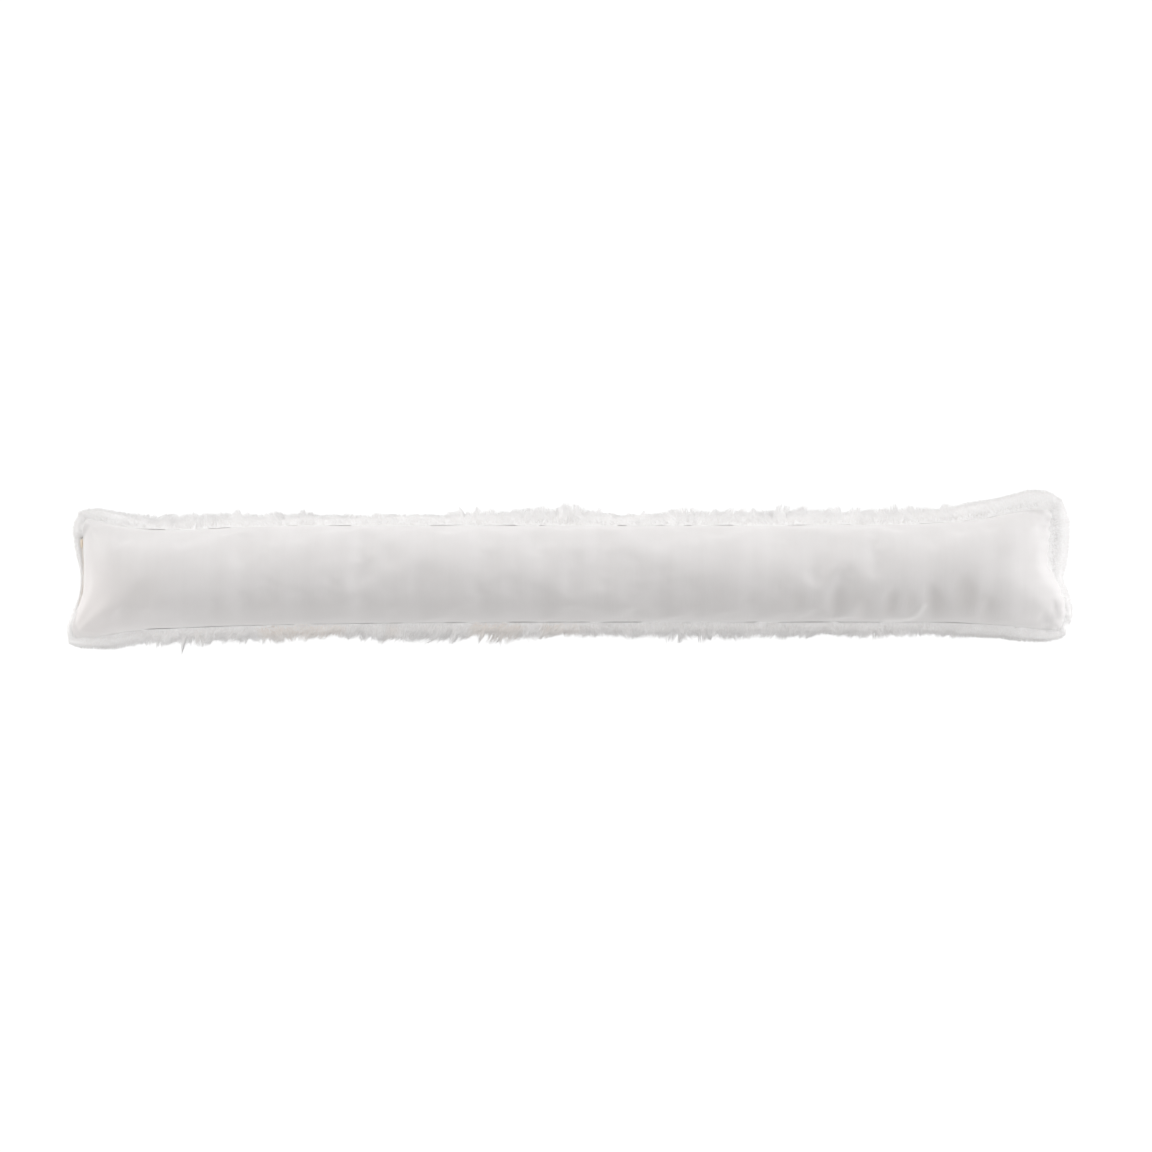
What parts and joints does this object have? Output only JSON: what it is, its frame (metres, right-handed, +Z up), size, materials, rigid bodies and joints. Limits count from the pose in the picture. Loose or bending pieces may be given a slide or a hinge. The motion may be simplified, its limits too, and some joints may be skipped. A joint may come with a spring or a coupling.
{
  "type": "draught excluder",
  "caption": "Long stuffed draught excluder with a smooth velour back, a shaggy faux fur front and a zip in one end, lying on its fur.",
  "frame": {"origin": "on the floor, under the middle of the cushion", "axes": "+X along the cushion to the end without the zip, +Y across it, +Z up out of the velour back"},
  "size_m": [0.9155, 0.1501, 0.0894],
  "materials": {
    "velour": "short brushed nap with a soft sheen",
    "faux_fur": "long soft pile in tufts",
    "zip_coil": "satin nylon coil",
    "zip_slider": "pale tan lacquered metal"
  },
  "bodies": {
    "root": {"cushion": "velour", "fur_panel": "faux_fur", "end_zip": "zip_coil", "zip_slider": "zip_slider"}
  },
  "joints": []
}
